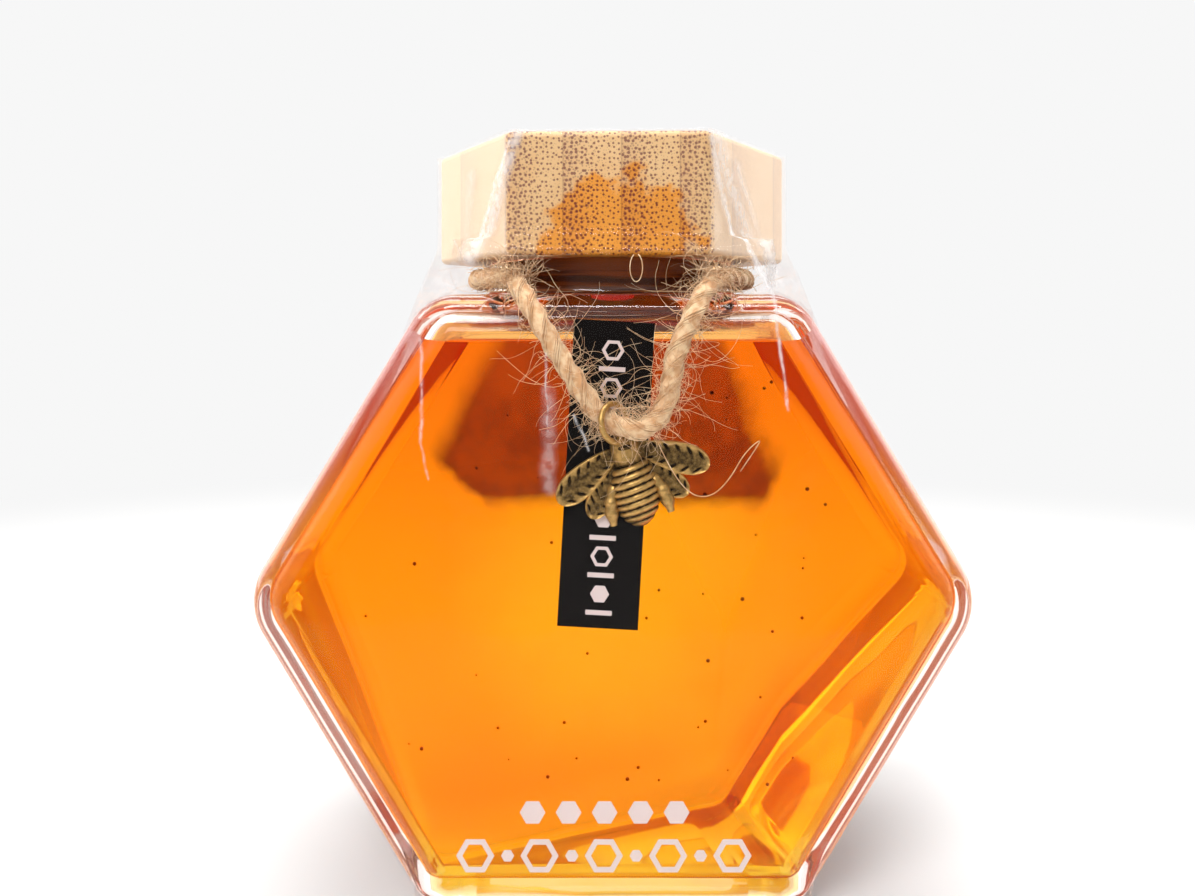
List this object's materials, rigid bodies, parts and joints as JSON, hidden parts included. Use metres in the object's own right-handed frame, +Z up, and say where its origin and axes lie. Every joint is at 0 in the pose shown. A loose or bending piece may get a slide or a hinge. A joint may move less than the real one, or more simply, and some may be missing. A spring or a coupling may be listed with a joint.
{
  "type": "honey jar",
  "caption": "Hexagonal glass jar filled with honey, with a bamboo lid, a jute twine and bee charm round its neck, a strip label and a clear film wrap.",
  "frame": {"origin": "middle of the neck's axis, on the surface that the jar stands on", "axes": "+Z up, -Y out of the front, where the label and the charm are, +X to the right seen from the front"},
  "size_m": [0.102, 0.057, 0.1091],
  "materials": {
    "clear_glass": "clear, glossy",
    "honey": "clear golden orange",
    "bamboo": "satin, end grain to the front",
    "stopper_silicone": "matt dark brown",
    "black_label": "semi-matt black",
    "jute": "fibrous, matt",
    "antique_bronze": "antique bronze with dark recesses",
    "clear_film": "clear, glossy, slightly creased"
  },
  "bodies": {
    "root": {"glass_jar": "clear_glass", "honey": "honey", "bamboo_lid": "bamboo", "stopper": "stopper_silicone", "strip_label": "black_label", "twine": "jute", "twine_knot": "jute", "bee_charm": "antique_bronze", "film_wrap": "clear_film"}
  },
  "joints": []
}
